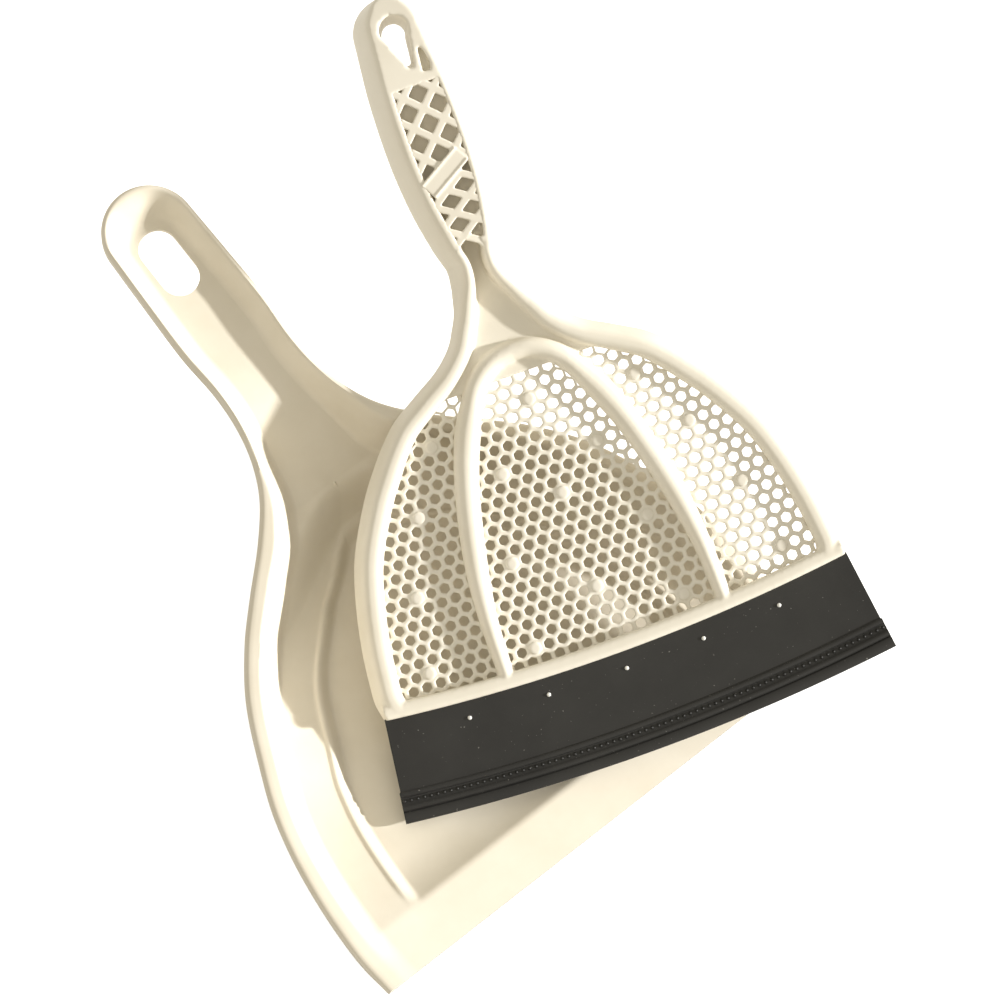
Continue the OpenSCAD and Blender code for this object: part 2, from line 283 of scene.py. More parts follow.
def cream_plastic(name, dark, light, roughness=0.42):
    """Moulded plastic: slight cloudiness in the colour, fine moulding grain and faint scuffs."""
    m = Nodes(name)
    cloud = m.noise(28, 4, 0.6)
    m.link(m.ramp(cloud, [(0.3, dark), (0.7, light)]), m.shader.inputs["Base Color"])
    scuffs = m.noise(160, 5, 0.65)
    m.link(m.spread(scuffs, roughness - 0.08, roughness + 0.12), m.shader.inputs["Roughness"])
    m.bump(m.noise(2600, 2, 0.5), 0.00004, 0.35)
    m.shader.inputs["IOR"].default_value = 1.46
    m.shader.inputs["Specular IOR Level"].default_value = 0.35
    return m.material


def black_rubber(name):
    """Dark grey rubber with a dull sheen and a few pale specks of dust."""
    m = Nodes(name)
    dark, light = (0.016, 0.0155, 0.015), (0.027, 0.0265, 0.025)
    tone = m.ramp(m.noise(22, 4, 0.6), [(0.3, dark), (0.7, light)])
    specks = m.ramp(m.noise(900, 1, 0.4), [(0.76, (0, 0, 0)), (0.80, (1, 1, 1))])
    mix = m.add("ShaderNodeMix", data_type="RGBA")
    m.link(specks, mix.inputs["Factor"])
    m.link(tone, mix.inputs["A"])
    mix.inputs["B"].default_value = (0.16, 0.155, 0.145, 1)
    m.link(mix.outputs["Result"], m.shader.inputs["Base Color"])
    m.link(m.spread(m.noise(70, 5, 0.6), 0.42, 0.62), m.shader.inputs["Roughness"])
    m.bump(m.noise(1500, 3, 0.6), 0.00005, 0.3)
    return m.material


def glint_painted_pins(name):
    """Glossy pale colour of the fixing pins: the pin heads are real, their pale colour is a painted
    highlight for the glints on them.
    """
    m = Nodes(name)
    # The pale tones below are painted glint on the pin heads, not their own colour
    m.link(m.ramp(m.noise(600, 2), [(0.3, (0.75, 0.75, 0.72)), (0.7, (0.9, 0.9, 0.87))]),
           m.shader.inputs["Base Color"])
    m.link(m.spread(m.noise(900, 2), 0.15, 0.3), m.shader.inputs["Roughness"])
    m.bump(m.noise(2600, 2, 0.5), 0.00003, 0.3)
    return m.material


def paint(obj, material):
    """Gives the whole object one material."""
    obj.data.materials.clear()
    obj.data.materials.append(material)


# ---- pan ----
PAN_L = 346
SKIN = 2.2
LIP_Z = 1.5
# Ramp: its crest's distance from the lip and height, and the depth of the slope behind it
CREST_T, CREST_Z, DROP_RUN = 23, 7.5, 22
# Rear wall: its foot in the middle, how far the foot bows forward to the sides and the most that it
# does, and the wall's width
REAR_T, REAR_BOW, BOW_MOST, REAR_RUN = 177, 0.015, 30, 16
# Ledge round the well: its width along the outline and at the rear wall, the share of the distance
# from the rear wall that counts, and the width of its slope
LEDGE_IN, LEDGE_REAR, REAR_SHARE, LEDGE_RUN = 35.5, 1.5, 0.9, 4.5
# Bead on the ledge: its height, width and distance from the slope, and how soon it starts
BEAD_H, BEAD_W, BEAD_OUT, BEAD_START = 0.8, 1.2, 1.3, 12
# Turn of the bowl into the handle
NECK_FROM, NECK_RUN = 178, 44
# Band on top of the walls, and the steep part of the walls, in the bowl and in the handle
BAND_W, NECK_BAND_W = 7, 1.5
WALL_RUN, TROUGH_RUN = 10, 7
# Share of the wall's height that is steep in the bowl, and the width of the slope below it
STEEP_SHARE, FOOT_RUN = 0.8, 26
# Raised corner where the bowl meets the handle: where it starts and ends, its height at the end and
# how fast it falls towards the lip and the sides
GUSSET_FROM, GUSSET_TO, GUSSET_H, GUSSET_FALL, GUSSET_SIDE = 176, 193, 27, 1.5, 1.3
# Radius on the outside edge of the rim, and the width and height of the turned-down edge
EDGE_R, SKIRT_W, SKIRT_H = 2.6, 2, 7
# Hanging slot: width, length and distance from the lip
SLOT_W, SLOT_L, SLOT_T = 18, 33, 311
# Round end of the handle
END_R = 21.8
END_T = PAN_L - END_R
# Half of the pan's width, the rim's height and the trough's height at distances from the lip
PAN_OUTLINE = [[0, 122.3], [25, 124.6], [60, 122.6], [87, 117.2], [108, 109], [134, 96.2],
               [154, 81.2], [170, 65.5], [186, 48.6], [202, 35], [217, 27.4], [233, 23.3],
               [250, 22], [272, 23.2], [300, 22.6], [END_T, END_R]]
PAN_RIM = [[0, 2.6], [10, 6], [23, 11], [40, 17], [63, 26], [90, 36], [120, 44], [150, 48],
           [185, 50], [215, 52.5], [PAN_L, 70]]
PAN_TROUGH = [[193, 24], [215, 33], [240, 44.5], [280, 51], [PAN_L, 59]]


def pan_half(t):
    """Half of the pan's width."""
    round_end = np.sqrt(np.maximum(END_R ** 2 - (t - END_T) ** 2, 0))
    return np.where(t > END_T, round_end, curve(PAN_OUTLINE, np.minimum(t, END_T)))


def edge_at(x, t):
    """Distance in from the pan's outline."""
    slope = pan_half(t + 0.5) - pan_half(t - 0.5)
    side = (pan_half(t) - np.abs(x)) / np.sqrt(1 + slope ** 2)
    return np.where(t > END_T, END_R - np.hypot(x, t - END_T), side)


def floor_at(x, t, edge):
    """Ramp from the lip to its crest, then a narrow ledge round a flat well, and the rear wall."""
    ramp = LIP_Z + (CREST_Z - LIP_Z) * t / CREST_T
    behind = np.clip(1 - (t - CREST_T) / DROP_RUN, 0, 1) ** 2
    from_rear = REAR_T - BOW_MOST * (1 - np.exp(-REAR_BOW * x * x / BOW_MOST)) - t
    inside = np.minimum(edge - LEDGE_IN, REAR_SHARE * from_rear - LEDGE_REAR)
    beside = 1 - eased(inside / LEDGE_RUN)
    bead = (BEAD_H * np.exp(-((inside + BEAD_OUT) / BEAD_W) ** 2)
            * eased((t - CREST_T) / BEAD_START))
    well = SKIN + (CREST_Z - SKIN) * (1 - (1 - behind) * (1 - beside)) + bead
    low = np.where(t < CREST_T, ramp, well)
    trough = curve(PAN_TROUGH, np.maximum(t, PAN_TROUGH[0][0]))
    return low + (trough - low) * eased(-from_rear / REAR_RUN)


def pan_top(x, t):
    """Height of the pan's upper side."""
    rim = curve(PAN_RIM, t)
    edge = np.maximum(edge_at(x, t), 0)
    middle = np.maximum(edge_at(0 * x, t), 0.01)
    neck = eased((t - NECK_FROM) / NECK_RUN)
    inward = edge - neck * edge * edge / (2 * middle) - mixed(BAND_W, NECK_BAND_W, neck)
    steep = mixed(STEEP_SHARE, 1, neck)
    wall = (steep * eased(inward / mixed(WALL_RUN, TROUGH_RUN, neck))
            + (1 - steep) * np.clip(inward / FOOT_RUN, 0, 1))
    arc = EDGE_R - np.sqrt(np.maximum(EDGE_R ** 2 - (EDGE_R - edge) ** 2, 0))
    rounded = np.where(edge < EDGE_R, arc, 0)
    top = rim - rounded - (rim - floor_at(x, t, edge)) * wall
    gusset = GUSSET_H - GUSSET_FALL * (GUSSET_TO - t) - GUSSET_SIDE * np.abs(x)
    return np.where((t > GUSSET_FROM) & (t < GUSSET_TO), np.maximum(top, gusset), top)


def across_places(half, middle):
    """Places x across the pan, close together at its edges and over its walls."""
    reach = min(44, 0.85 * middle) / middle
    near = np.concatenate([[0, 0.004, 0.012, 0.03, 0.06, 0.1], np.linspace(0.14, 1, 50)])
    deep = np.concatenate([near * reach, reach + (1 - reach) * np.linspace(0, 1, 25)[1:]])
    right = half * (1 - deep)
    return np.concatenate([-right, right[:-1][::-1]])


def pan_under(x, t):
    """Height of the pan's underside: one skin below its top, measured square to it."""
    step, steepest = 0.3, 6
    steep_x = (pan_top(x + step, t) - pan_top(x - step, t)) / (2 * step)
    steep_t = (pan_top(x, t + step) - pan_top(x, t - step)) / (2 * step)
    thick = SKIN * np.sqrt(1 + np.minimum(steep_x ** 2 + steep_t ** 2, steepest))
    return np.maximum(pan_top(x, t) - thick, 0)


def pan_section(t):
    """Points across the pan at one distance from the lip: top, turned-down edge, underside."""
    half = float(pan_half(np.array(t)))
    middle = max(float(edge_at(np.array(0.0), np.array(t))), 0.01)
    x = across_places(half, middle)
    inner = max(half - SKIRT_W, 0.05)
    under_x = x * (inner - 0.3) / max(half, 0.01)
    tt = np.full_like(x, t)
    foot = max(float(curve(PAN_RIM, np.array(t))) - SKIRT_H, 0)
    over = [[a, t, b] for a, b in zip(x, pan_top(x, tt))]
    below = [[a, t, b] for a, b in zip(under_x, pan_under(under_x, tt))][::-1]
    corner, foot_end = half - 0.5, inner
    # At the very tip of the handle there is no room for a turned-down edge, so it is solid
    if half < SKIRT_W + 0.2:
        corner, foot_end = half * 0.8, half * 0.5
        below = [[p[0], t, foot + 0.1] for p in below]
    right_edge = [[half, t, foot + 0.8], [corner, t, foot], [foot_end, t, foot]]
    left_edge = [[-a, b, c] for a, b, c in reversed(right_edge)]
    return np.array(over + right_edge + below + left_edge)


def slot_outline(width, length, at):
    """Slot with round ends."""
    reach = (length - width) / 2
    turn = np.linspace(0, math.pi, 25)
    upper = [[width / 2 * math.cos(a), at + reach + width / 2 * math.sin(a)] for a in turn]
    lower = [[-x, 2 * at - y] for x, y in upper]
    return upper + lower


def pan_shell():
    """The pan, with a section every millimetre or two and closer ones at the round end."""
    places = np.concatenate([np.arange(0, 24, 1.5), np.arange(24, 226, 1),
                             np.arange(226, END_T, 2),
                             END_T + END_R * np.sin(np.radians(np.arange(0, 88, 4))),
                             [PAN_L - 0.05]])
    points, faces = loft([pan_section(t) for t in places])
    shell = mesh_object("pan_shell", to_pan(points), faces)
    hole, hole_faces = prism(slot_outline(SLOT_W, SLOT_L, SLOT_T), 40, 90)
    cut(shell, mesh_object("slot_cutter", to_pan(hole), hole_faces))
    shade_smooth(shell.data)
    shell.data.set_sharp_from_angle(angle=math.radians(40))
    paint(shell, cream_plastic("pan_plastic", (0.78, 0.72, 0.6), (0.84, 0.785, 0.675)))
    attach(shell, "pan")
    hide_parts("pan_body")


# ---- broom outlines ----
HEAD_HALF = 108.5
# Distance above the rail at which the head ends and the handle begins
HEAD_TOP = 153
# How far the middle of the rail's lower edge hangs below its ends
BOW = 6.9
RAIL_H, FLANGE_H = 6.8, 14
RIM_W = 13
# Half of the head's width at distances above the rail
HEAD_OUTLINE = [[0, HEAD_HALF], [7, 110], [15, 109.6], [33, 107.3], [54, 102.6], [71, 96.9],
                [86, 89], [102, 78.4], [121, 61.4], [130, 47.3], [137, 35.2], [145, 26.2],
                [HEAD_TOP, 21.2]]
# Half-widths of the arch of ribs, outside and inside
RIB_OUTER = [[0, 54.5], [27, 54.2], [52, 52], [80, 46], [108, 36.5], [125, 26], [130, 22.1],
             [134, 17.2], [137, 11.2], [138.5, 5.6], [139, 0]]
RIB_INNER = [[0, 47.5], [27, 45.8], [54, 41], [85, 33], [110, 22.9], [118, 19.1], [124, 14.3],
             [127.5, 9.6], [129.3, 5.1], [130, 0]]
# Round tip of the handle: its radius and centre
TIP_R = 16.2
TIP_Y = 300.5 - TIP_R
# Half of the handle's width, and its thickness
HANDLE_OUTLINE = [[HEAD_TOP, 21.2], [158, 18.2], [164, 15.4], [170, 13], [177, 12.1], [182, 13.4],
                  [189, 15.1], [206, 18], [225, 19.5], [242, 19.6], [260, 18.8], [272, 17.6],
                  [TIP_Y, TIP_R]]
HANDLE_THICK = [[HEAD_TOP, 9], [160, 10.5], [172, 15], [184, 19], [195, 20], [270, 20], [288, 18],
                [304, 14]]
# Recess under the lattice: where it starts and ends, its bottom and its distance in from the outline
POCKET = (186, 258)
POCKET_FLOOR, POCKET_IN = 13.5, 8.6
# Sunk plate of the neck
WEB_LOW, WEB_TOP = 0.4, 4
# Above every front face of the grip
ABOVE = 30
# Widths of the rim at distances above the rail
RIM_WIDTH = [[0, RIM_W], [105, RIM_W], [150, 10.5], [165, 9.4], [178, 8]]
# Rounded cross-sections, as [share of the width, height]
RIM_PROFILE = [(0, 1.5), (0.12, 4.2), (0.24, 6.8), (0.36, 8.5), (0.5, 9.2), (0.72, 9.2),
               (0.88, 8.4), (0.96, 7.2), (1, 5.5)]
RIB_PROFILE = [(0, 4.5), (0.06, 6.6), (0.2, 8.4), (0.42, 9.3), (0.62, 9.2), (0.82, 8.2),
               (0.95, 6.4), (1, 4.5)]
RAIL_PROFILE = [(0, 8.0), (0.08, 8.8), (0.3, 9.2), (0.75, 9.0), (0.95, 8.2), (1, 7)]
FLANGE_PROFILE = [(0, 3), (1, 3)]


def rail_y(x, half=HEAD_HALF):
    """The bowed lower edge of the rail."""
    return -BOW * (1 - (x / half) ** 2)


def handle_half(y):
    """Half of the handle's width."""
    if y > TIP_Y:
        return math.sqrt(max(TIP_R ** 2 - (y - TIP_Y) ** 2, 0))
    return float(curve(HANDLE_OUTLINE, np.array(y)))


def offset_line(points, distance):
    """The same line moved sideways, to the left of its direction."""
    p = np.array(points, float)
    along = np.gradient(p, axis=0)
    along /= np.linalg.norm(along, axis=1)[:, None]
    return p + distance * np.stack([-along[:, 1], along[:, 0]], axis=1)


def even_line(points, count):
    """The line as evenly spaced points."""
    p = np.array(points, float)
    length = np.concatenate([[0], np.cumsum(np.linalg.norm(np.diff(p, axis=0), axis=1))])
    at = np.linspace(0, length[-1], count)
    return np.stack([np.interp(at, length, p[:, 0]), np.interp(at, length, p[:, 1])], axis=1)


def rib_solid(outside, inside, profile):
    """Solid between two lines: the profile lists [share of the width, height]."""
    sections = []
    for a, b in zip(outside, inside):
        over = [[*(a + (b - a) * s), z] for s, z in profile]
        sections.append(np.array([[*a, 0.0]] + over + [[*b, 0.0]]))
    return loft(sections)


def side_line(points):
    """A list of [distance, half-width] as a line of [x, y] on the right side."""
    first, last = points[0][0], points[-1][0]
    y = first + (last - first) * np.sin(np.radians(np.linspace(0, 90, 120)))
    return np.stack([curve(points, y), y], axis=1)


def flipped(shape):
    """The same shape on the left side."""
    points, faces = shape
    return points * np.array([-1, 1, 1]), [list(reversed(f)) for f in faces]


# ---- broom frame ----
def thickness(y):
    """Thickness of the handle, and of the head below it."""
    return curve(HANDLE_THICK, np.maximum(y, HEAD_TOP))


def leaned(shape):
    """Moves the grip and the neck to the left, and their backs more than their fronts."""
    points, faces = shape
    y = points[:, 1]
    share = points[:, 2] / thickness(y)
    shift = eased((y - HEAD_TOP) / 20) * (2.6 * share - 3)
    return points + np.stack([shift, 0 * shift, 0 * shift], axis=1), faces


def head_rim():
    """Rounded rim that runs on up both sides of the neck and into the grip."""
    line = HEAD_OUTLINE[:-1] + [p for p in HANDLE_OUTLINE if p[0] < 184]
    outside = even_line(side_line(line), 110)
    width = np.interp(outside[:, 1], *np.transpose(RIM_WIDTH))
    inside = offset_line(outside, width[:, None])
    points, faces = rib_solid(outside, inside, RIM_PROFILE)
    y = points[:, 1]
    # Towards the grip the outside slopes more and the rim grows as thick as the handle
    points[:, 0] -= 0.18 * points[:, 2] * eased((y - 155) / 22)
    points[:, 2] *= thickness(y) / HANDLE_THICK[0][1]
    right = points, faces
    return [leaned(right), leaned(flipped(right))]


def arch():
    """The two ribs, which meet at the top."""
    outside = even_line(side_line(RIB_OUTER), 90)
    inside = even_line(side_line(RIB_INNER), 90)
    right = rib_solid(outside, inside, RIB_PROFILE)
    return [right, flipped(right)]


def rail():
    """Bowed rail above the blade, and the flange behind the blade."""
    x = np.linspace(-HEAD_HALF + 0.8, HEAD_HALF - 0.8, 60)
    low = np.stack([x, rail_y(x)], axis=1)
    flange_low = np.stack([x * 0.97, rail_y(x) - FLANGE_H], axis=1)
    return [rib_solid(low, low + np.array([0, RAIL_H]), RAIL_PROFILE),
            rib_solid(flange_low, low + [0, 1], FLANGE_PROFILE)]


def neck_web():
    """Sunk plate between the rim and the top of the ribs, and the bottom of the neck's trough."""
    y = np.arange(124, POCKET[0], 3)
    outer = curve(HEAD_OUTLINE[:-1] + HANDLE_OUTLINE, y) - 4
    right = np.stack([outer, y], axis=1)
    left = right[::-1] * np.array([-1, 1])
    return [leaned(prism(np.vstack([right, left]), WEB_LOW, WEB_TOP))]


def handle_section(y):
    """Section of the grip, narrower at its front than at its back."""
    w, h = handle_half(y), float(thickness(y))
    draft = min(0.26 * h, 0.35 * w)
    right, left = [], []
    for share, level in [(0, 0), (0, 0.22), (0.2, 0.45), (0.42, 0.64), (0.68, 0.82), (0.9, 0.94),
                         (1, 1)]:
        half = w - share * draft - (min(0.2 * w, 1) if share == 1 else 0)
        right.append([half, y, level * h])
        left.append([-half, y, level * h])
    return np.array(right + left[::-1])


def eye_outline(width, middle, at, drop, height):
    """Round at the tip, then down to a blunt corner on the right."""
    turn = np.radians(np.arange(-30, 211, 10))
    upper = [[middle + width / 2 * math.cos(a), at + width / 2 * math.sin(a), height]
             for a in turn]
    return np.array(upper + [[middle + 0.6, at - drop, height], [middle + 3, at - drop, height]])


def hanging_hole():
    """Teardrop hole that widens to the front."""
    return loft([eye_outline(width=9.8, middle=-1.6, at=282.7, drop=14, height=-2),
                 eye_outline(width=14, middle=-0.4, at=285, drop=19.5, height=22)])


def pocket_half(y):
    """Half of the recess's width."""
    return handle_half(y) - POCKET_IN


def pocket():
    """Recess under the lattice."""
    right = [[pocket_half(y), y] for y in np.arange(POCKET[0], POCKET[1] + 1, 3)]
    return prism(right + [[-x, y] for x, y in reversed(right)], POCKET_FLOOR, ABOVE)


def trough_end():
    """Lets the neck's trough run into the recess."""
    return prism([[-5.4, 188], [3.9, 188], [3.6, 174], [-5.4, 174]], WEB_TOP, ABOVE)


def corner_window():
    """Shallow opening beside the hanging hole."""
    return prism([[5.2, 262.5], [9, 262.5], [9.6, 266], [7.9, 274], [6.4, 273]], 15, ABOVE)


def handle_solid():
    """The grip with its recess and holes, from inside the neck to the tip."""
    places = np.concatenate([np.arange(178, TIP_Y, 3),
                             TIP_Y + TIP_R * np.sin(np.radians(np.arange(0, 90, 8)))])
    grip = mesh_object("grip", *leaned(loft([handle_section(y) for y in places])))
    for cutter in (pocket(), trough_end(), corner_window(), hanging_hole()):
        cut(grip, mesh_object("cutter", *cutter))
    points = np.array([v.co for v in grip.data.vertices])
    faces = [list(p.vertices) for p in grip.data.polygons]
    bpy.data.objects.remove(grip)
    return [(points, faces)]


def broom_frame(material):
    """Head and grip as one moulding."""
    points, faces = joined(head_rim() + arch() + rail() + neck_web() + handle_solid())
    frame_piece = mesh_object("broom_frame", place(points), faces)
    moulded(frame_piece, 0.7, 4)
    paint(frame_piece, material)
    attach(frame_piece, "brush")
    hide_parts("brush_frame", "brush_handle")


# ---- grip lattice ----
def bar(start, end, width, depth, raised=-0.2):
    """Straight bar between two points [x, y]. Its top follows the grip's front face."""
    a, b = np.array(start, float), np.array(end, float)
    side = np.array([a[1] - b[1], b[0] - a[0]])
    side *= width / 2 / np.linalg.norm(side)
    sections = []
    for p in (a, b):
        top = float(thickness(p[1])) + raised
        sections.append(np.array([[*(p + way * side), top - down] for way, down in
                                  ((1, depth), (-1, depth), (-1, 0), (1, 0))]))
    return loft(sections)


def crossing_bars(slope, pitch, crossing, from_y, to_y, width):
    """Bars in both directions, one pair of which meets at crossing [x, y]."""
    # How far a bar's ends reach into the grip, its depth, and the fewest steps of a quarter
    # millimetre across that make a bar
    overlap, depth, fewest = 1.8, 3.4, 8
    shapes = []
    for way in (-1, 1):
        for k in range(-8, 9):
            line = [[x, crossing[1] + k * pitch + way * slope * (x - crossing[0])]
                    for x in np.linspace(-12, 12, 97)]
            line = [[x, y] for x, y in line
                    if from_y <= y <= to_y and abs(x) < pocket_half(y) + overlap]
            if len(line) > fewest:
                shapes.append(bar(line[0], line[-1], width, depth))
    return shapes


def blank_band():
    """Plain slanted band across the grip with a raised line along both edges."""
    start, end = np.array([-10.6, 212]), np.array([8.8, 223.3])
    shapes = [bar(start, end, 8.6, 4, 0.1)]
    for s in (-3.7, 3.7):
        aside = s * np.array([-0.5, 0.86])
        shapes.append(bar(start + aside, end + aside, 1.0, 2, 0.6))
    return shapes


def grip_lattice(material):
    """Two fields of crossing bars, steeper ones above the band and flatter ones below it."""
    upper = crossing_bars(slope=1, pitch=14.14, crossing=[0, 219.1], from_y=216, to_y=262,
                          width=3.4)
    lower = crossing_bars(slope=0.67, pitch=10.6, crossing=[-2.5, 199.4], from_y=182, to_y=216,
                          width=3.2)
    points, faces = joined(upper + lower + blank_band())
    lattice = mesh_object("grip_bars", place(points), faces)
    moulded(lattice, 0.4, 6)
    paint(lattice, material)
    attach(lattice, "brush")
    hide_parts("grip_lattice")


# ---- mesh panels ----
CELL = 6.35
CELL_R = CELL / 2 / math.cos(math.radians(30))
HOLE_R = 2.54
ROW_H = CELL * math.sin(math.radians(60))
# Height of the first row above the rail's ends
ROW_START = 2
# Back and front of the mesh
MESH_LOW, MESH_TOP = 1.0, 3.5
# How far the mesh reaches under the ribs and the rim, how high above the rail's lower edge it starts
# and where the side panels end
MESH_TUCK, MESH_START, SIDE_END = 2.4, 4.2, 132
# Points round each cell
ROUND = 12
# Closed cells of the mesh, in the centre panel and in the left one
CENTRE_PADS = [(-3, 113), (20, 86), (-25, 85), (-2, 69), (30, 47),
               (-34, 47), (-2, 25), (34, 8), (-37, 7)]
SIDE_PADS = [(-49, 107), (-66, 80), (-79, 47), (-85, 14)]


def hexagon(radius, soft=0.0):
    """Twelve points: the corners, drawn in by soft, and the middles of the sides."""
    points = []
    for k in range(ROUND):
        a = math.radians(30 + 30 * k)
        r = radius * (1 - soft) if k % 2 == 0 else radius * math.cos(math.radians(30))
        points.append([r * math.cos(a), r * math.sin(a)])
    return np.array(points)


def stacked(rings, at):
    """Points and faces of a skin through rings, each a list of [x, y] round at, and a height."""
    points = [[x + at[0], y + at[1], z] for ring, z in rings for x, y in ring]
    faces = []
    for a in range(0, (len(rings) - 1) * ROUND, ROUND):
        faces += [[a + j, a + (j + 1) % ROUND, a + ROUND + (j + 1) % ROUND, a + ROUND + j]
                  for j in range(ROUND)]
    return points, faces


def open_cell(at):
    """Ring of mesh round one hole, with a softly rounded edge."""
    return stacked([(hexagon(CELL_R), MESH_TOP), (hexagon(HOLE_R + 0.5, 0.02), 3.45),
                    (hexagon(HOLE_R + 0.15, 0.03), 3.3), (hexagon(HOLE_R, 0.035), 2.95),
                    (hexagon(HOLE_R - 0.05, 0.035), 1.3), (hexagon(HOLE_R + 0.3, 0.02), MESH_LOW),
                    (hexagon(CELL_R), MESH_LOW)], at)


def filled_cell(at):
    """Cell closed by a small round pad that stands a little proud."""
    turn = np.radians(30 + 30 * np.arange(ROUND))
    circle = np.stack([np.cos(turn), np.sin(turn)], axis=1)
    rings = [(hexagon(CELL_R), MESH_TOP), (circle * 2.75, MESH_TOP), (circle * 2.65, 4.0),
             (circle * 2.3, 4.2), (circle * 1.2, 4.25)]
    points, faces = stacked(rings, at)
    under = len(points)
    faces.append([under - ROUND + j for j in range(ROUND)])
    points += [[x + at[0], y + at[1], MESH_LOW] for x, y in hexagon(CELL_R)]
    faces.append([under + j for j in reversed(range(ROUND))])
    return points, faces


def half_of(points, y):
    """Half-width of an outline, and less than nothing above its end."""
    return float(curve(points, np.array(y))) if y < points[-1][0] else -50.0


def in_centre(x, y):
    """Whether a cell belongs to the centre panel."""
    return abs(x) < half_of(RIB_INNER, max(y, 0)) + MESH_TUCK and y > rail_y(x) + MESH_START


def in_side(x, y):
    """Whether a cell belongs to one of the side panels."""
    rim = half_of(HEAD_OUTLINE, max(y, 0))
    slope = half_of(HEAD_OUTLINE, max(y, 0) + 1) - rim
    inner = half_of(RIB_OUTER, max(y, 0)) - MESH_TUCK
    outer = rim - RIM_W * math.hypot(1, slope) + MESH_TUCK
    return inner < abs(x) < outer and rail_y(x) + MESH_START < y < SIDE_END


def in_left(x, y):
    return x < 0 and in_side(x, y)


def in_right(x, y):
    return x > 0 and in_side(x, y)


def cell_centres(inside):
    """Middles of the honeycomb's cells for which inside(x, y) holds."""
    centres = []
    for row in range(-2, 26):
        for col in range(-18, 19):
            x = CELL * (col + (0 if row % 2 == 0 else 0.5))
            y = row * ROW_H + ROW_START
            if inside(x, y):
                centres.append((x, y))
    return centres


def mesh_panel(name, node, inside, pads, material):
    """Honeycomb plate. Each cell that is nearest to a pad is closed."""
    centres = cell_centres(inside)
    closed = set()
    for pad in pads:
        closed.add(min(range(len(centres)), key=lambda i: math.dist(centres[i], pad)))
    shapes = [filled_cell(c) if i in closed else open_cell(c) for i, c in enumerate(centres)]
    points, faces = joined(shapes)
    panel = mesh_object(name, place(points), faces)
    bm = bmesh.new()
    bm.from_mesh(panel.data)
    bmesh.ops.remove_doubles(bm, verts=bm.verts, dist=0.00002)
    bmesh.ops.recalc_face_normals(bm, faces=bm.faces)
    bm.to_mesh(panel.data)
    bm.free()
    paint(panel, material)
    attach(panel, "brush")
    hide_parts(node)


# ---- blade ----
BLADE_TOP_HALF, BLADE_FOOT_HALF, BLADE_H = 108.8, 115.0, 46.0
# Back and plain front face of the rubber
BLADE_BACK, BLADE_FRONT = 3.05, 5.0
# Height above the lower edge up to which the rubber reaches its full width
LIP_H = 13.8
# Ridges of the front face, as [height above the lower edge, height above the plain face]
BLADE_PROFILE = [(0, -0.2), (0.4, 0.3), (2.2, 0.5), (4.6, 0.3), (5.2, -0.4), (5.7, 0.2), (6.3, 0.9),
                 (7.2, 0.9), (7.9, 0.3), (8.6, -0.3), (11.3, -0.3), (11.8, 0.6), (12.6, 1.1),
                 (13.6, 0.9), (14.2, 0), (16, 0), (30, 0), (60, 0)]
# Pins: distance between neighbours and distance below the rail's lower edge
PIN_PITCH, PIN_DROP = 36.3, 7.6


def blade_foot(s):
    """Height of the lower edge at a share s of the blade's half-width."""
    return -BLADE_H + rail_y(s * BLADE_FOOT_HALF, BLADE_FOOT_HALF)


def blade_row(h):
    """Points along the front face at one height above the lower edge, and never past the rail."""
    z = float(np.interp(h, [a for a, _ in BLADE_PROFILE], [BLADE_FRONT + b for _, b in BLADE_PROFILE]))
    row = []
    for s in np.linspace(-1, 1, 81):
        foot = blade_foot(s)
        top = rail_y(s * BLADE_TOP_HALF, BLADE_TOP_HALF) + 0.6
        y = min(foot + h, top)
        half = mixed(BLADE_FOOT_HALF, BLADE_TOP_HALF, (y - foot) / (top - foot))
        row.append([s * (half - (0.5 if h > LIP_H else 0)), y, z])
    return row


def bead(s):
    """Small round nub in the groove above the lip."""
    centre = np.array([s * (BLADE_FOOT_HALF - 1), blade_foot(s) + 9.9, BLADE_FRONT - 0.3])
    return knob(centre, [(0.75, 0.0), (0.68, 0.5), (0.4, 0.95), (0.12, 1.1)], 8)


def rubber_blade(material):
    """One sheet from the rail to the lower edge."""
    heights = sorted(set([h for h, _ in BLADE_PROFILE if h < BLADE_H]
                         + list(np.arange(17, 53, 1.5))))
    rows = [blade_row(h) for h in heights + [100.0]]
    sections = [np.array(row + [[x, y, BLADE_BACK] for x, y, _ in reversed(row)]) for row in rows]
    beads = [bead(s) for s in np.linspace(-0.985, 0.985, 76)]
    points, faces = joined([loft(sections)] + beads)
    blade = mesh_object("rubber_blade", place(points), faces)
    outward(blade)
    blade.data.set_sharp_from_angle(angle=math.radians(50))
    paint(blade, material)
    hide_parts("blade_root", "sweeper_blade")
    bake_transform(blade)


def pin(k):
    """Head of one fixing pin, counted from the middle one."""
    x = k * PIN_PITCH
    centre = np.array([x, rail_y(x) - PIN_DROP, BLADE_FRONT - 0.2])
    return knob(centre, [(1.0, -0.6), (0.95, 0.3), (0.8, 0.6), (0.5, 0.85), (0.15, 0.9)], 16)


def pins(material):
    """The five heads in a row along the blade."""
    points, faces = joined([pin(k) for k in range(-2, 3)])
    heads = mesh_object("pin_heads", place(points), faces)
    outward(heads)
    paint(heads, material)
    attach(heads, "brush")
    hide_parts("blade_pins")


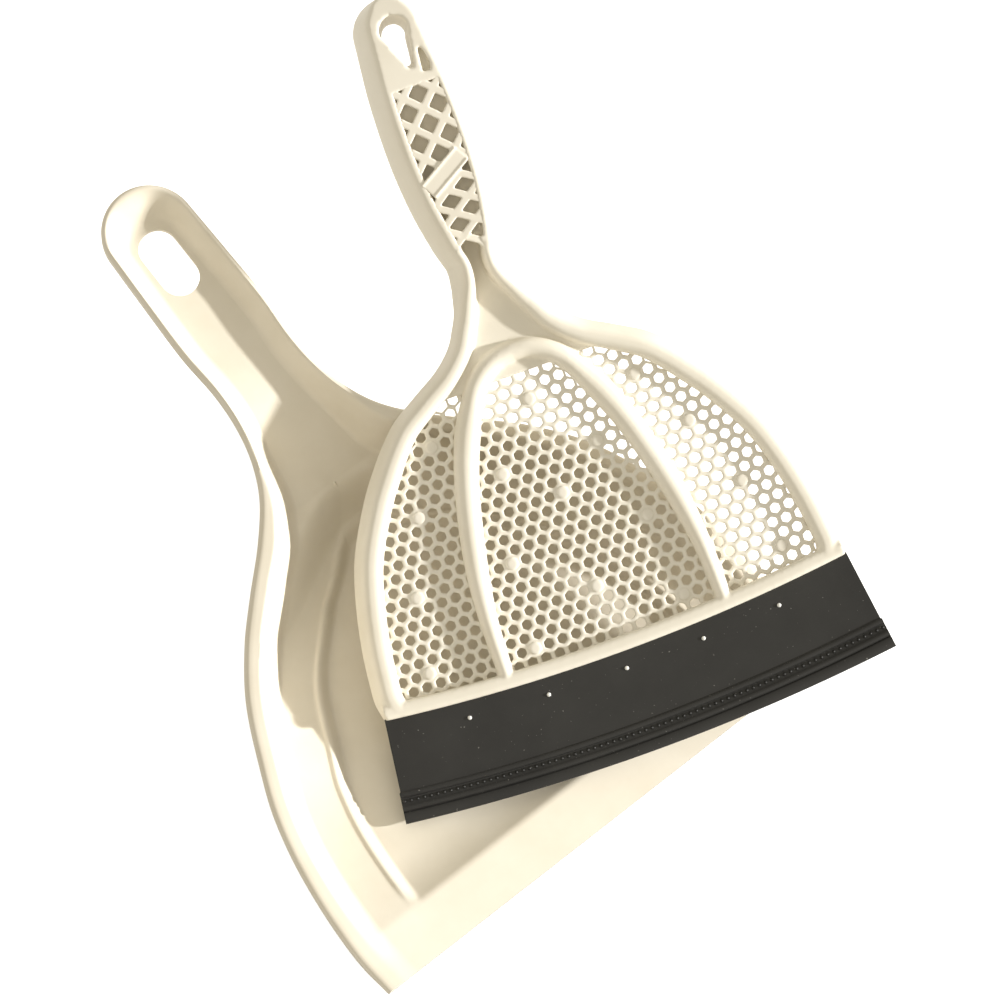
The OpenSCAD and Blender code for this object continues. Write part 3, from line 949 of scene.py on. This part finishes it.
# ---- stage ----
def floor_stage():
    """Pale floor just below the object."""
    low = cad_box[0]
    bpy.ops.mesh.primitive_plane_add(size=8, location=(0, 0, low[2] - 0.0005))
    floor = bpy.context.object
    floor.name = "floor"
    m = Nodes("pale_floor")
    m.shader.inputs["Base Color"].default_value = (0.9, 0.9, 0.9, 1)
    m.shader.inputs["Roughness"].default_value = 0.9
    # The floor glows a little for the camera alone, so that shadows on it stay pale
    seen = m.add("ShaderNodeLightPath").outputs["Is Camera Ray"]
    m.link(m.spread(seen, 0, 0.72), m.shader.inputs["Emission Strength"])
    m.shader.inputs["Emission Color"].default_value = (1, 1, 1, 1)
    paint(floor, m.material)


def sun(name, towards, strength, angle, colour):
    """Distant light that comes from a direction, with an angle in degrees that softens its shadows."""
    data = bpy.data.lights.new(name, "SUN")
    data.energy = strength
    data.angle = math.radians(angle)
    data.color = colour
    obj = bpy.data.objects.new(name, data)
    obj.rotation_euler = Vector(towards).to_track_quat("Z", "Y").to_euler()
    bpy.context.scene.collection.objects.link(obj)


def lights():
    """One low sun from the right, and a warm surround."""
    low = math.radians(18)
    towards = (0.79 * math.cos(low), -0.61 * math.cos(low), math.sin(low))
    sun("key", towards, strength=5.2, angle=2.5, colour=(1, 0.985, 0.96))
    world = bpy.data.worlds.new("studio")
    world.use_nodes = True
    background = world.node_tree.nodes["Background"]
    background.inputs["Color"].default_value = (1, 0.94, 0.8, 1)
    background.inputs["Strength"].default_value = 0.6
    bpy.context.scene.world = world


def camera():
    """Long lens straight down on the broom's face, turned 20 degrees about its view."""
    turn = math.radians(20)
    right = math.cos(turn) * ACROSS - math.sin(turn) * ALONG
    up = math.sin(turn) * ACROSS + math.cos(turn) * ALONG
    middle = BROOM_AT - right * 51.0 * MM + up * 60.5 * MM
    distance, view_width = 3.0, 441.8 * MM
    data = bpy.data.cameras.new("camera")
    data.sensor_width = 36
    data.lens = 36 * distance / view_width
    data.clip_end = 50
    obj = bpy.data.objects.new("camera", data)
    back = right.cross(up)
    spot = middle + back * distance
    obj.matrix_world = Matrix(((right.x, up.x, back.x, spot.x), (right.y, up.y, back.y, spot.y),
                               (right.z, up.z, back.z, spot.z), (0, 0, 0, 1)))
    bpy.context.scene.collection.objects.link(obj)
    bpy.context.scene.camera = obj


def broom():
    """Every piece of the broom. Head, grip and lattice share one plastic."""
    frame_cream = cream_plastic("broom_plastic", (0.84, 0.79, 0.68), (0.89, 0.845, 0.745))
    mesh_cream = cream_plastic("mesh_plastic", (0.85, 0.805, 0.7), (0.9, 0.86, 0.77), 0.38)
    broom_frame(frame_cream)
    grip_lattice(frame_cream)
    mesh_panel("left_mesh", "left_mesh_panel", in_left, SIDE_PADS, mesh_cream)
    mesh_panel("centre_mesh", "centre_mesh_panel", in_centre, CENTRE_PADS, mesh_cream)
    mesh_panel("right_mesh", "right_mesh_panel", in_right, [(-x, y) for x, y in SIDE_PADS],
               mesh_cream)
    rubber_blade(black_rubber("blade_rubber"))
    pins(glint_painted_pins("pin_plastic"))


def show_plainly():
    """Shows colours as they are, with no film look."""
    view = bpy.context.scene.view_settings
    view.view_transform = "Standard"
    view.look = "None"


camera()
lights()
floor_stage()
show_plainly()
pan_shell()
broom()
